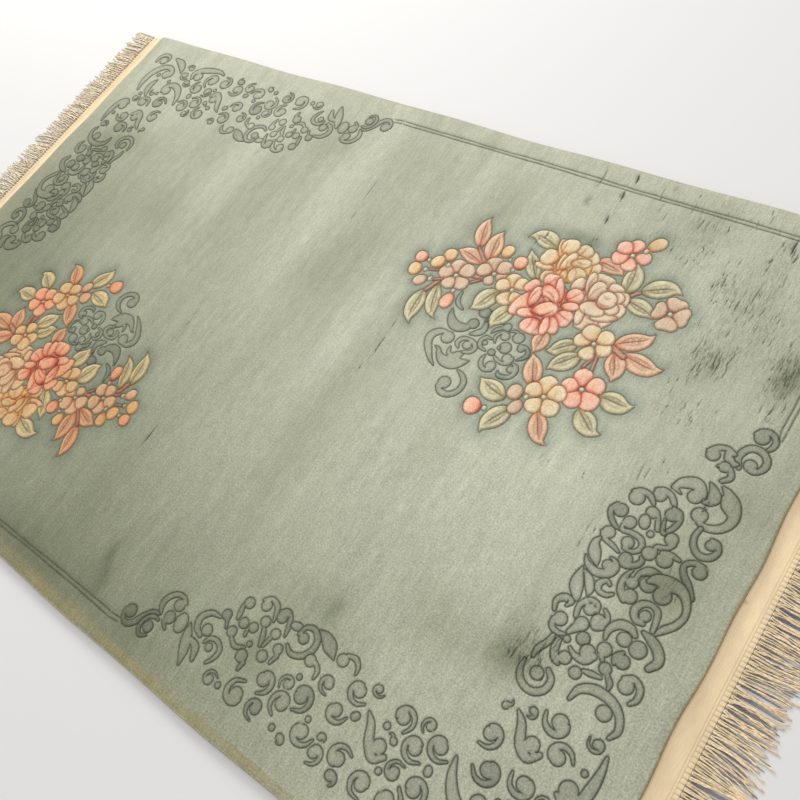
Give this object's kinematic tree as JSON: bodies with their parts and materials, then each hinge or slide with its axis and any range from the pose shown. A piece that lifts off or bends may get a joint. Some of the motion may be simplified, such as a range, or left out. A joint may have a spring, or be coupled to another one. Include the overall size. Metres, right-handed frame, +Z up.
{
  "type": "chinese art deco rug",
  "caption": "Rectangular carved wool pile rug with floral bouquets, scrollwork corners and a line border, with flat-woven ends and knotted fringes; lies flat on a floor.",
  "frame": {"origin": "middle of the underside, on the floor", "axes": "+X along the rug's length, +Y across its width, +Z up out of the pile"},
  "size_m": [2.0946, 1.2252, 0.0145],
  "materials": {
    "pile": "soft clipped wool pile with a light nap sheen",
    "end_web": "matte flat-woven cotton",
    "fringe": "matte crimped cotton yarn"
  },
  "bodies": {
    "root": {"rug_pile": "pile", "end_band_right": "end_web", "end_band_left": "end_web", "fringe_right": "fringe", "fringe_left": "fringe"}
  },
  "joints": []
}
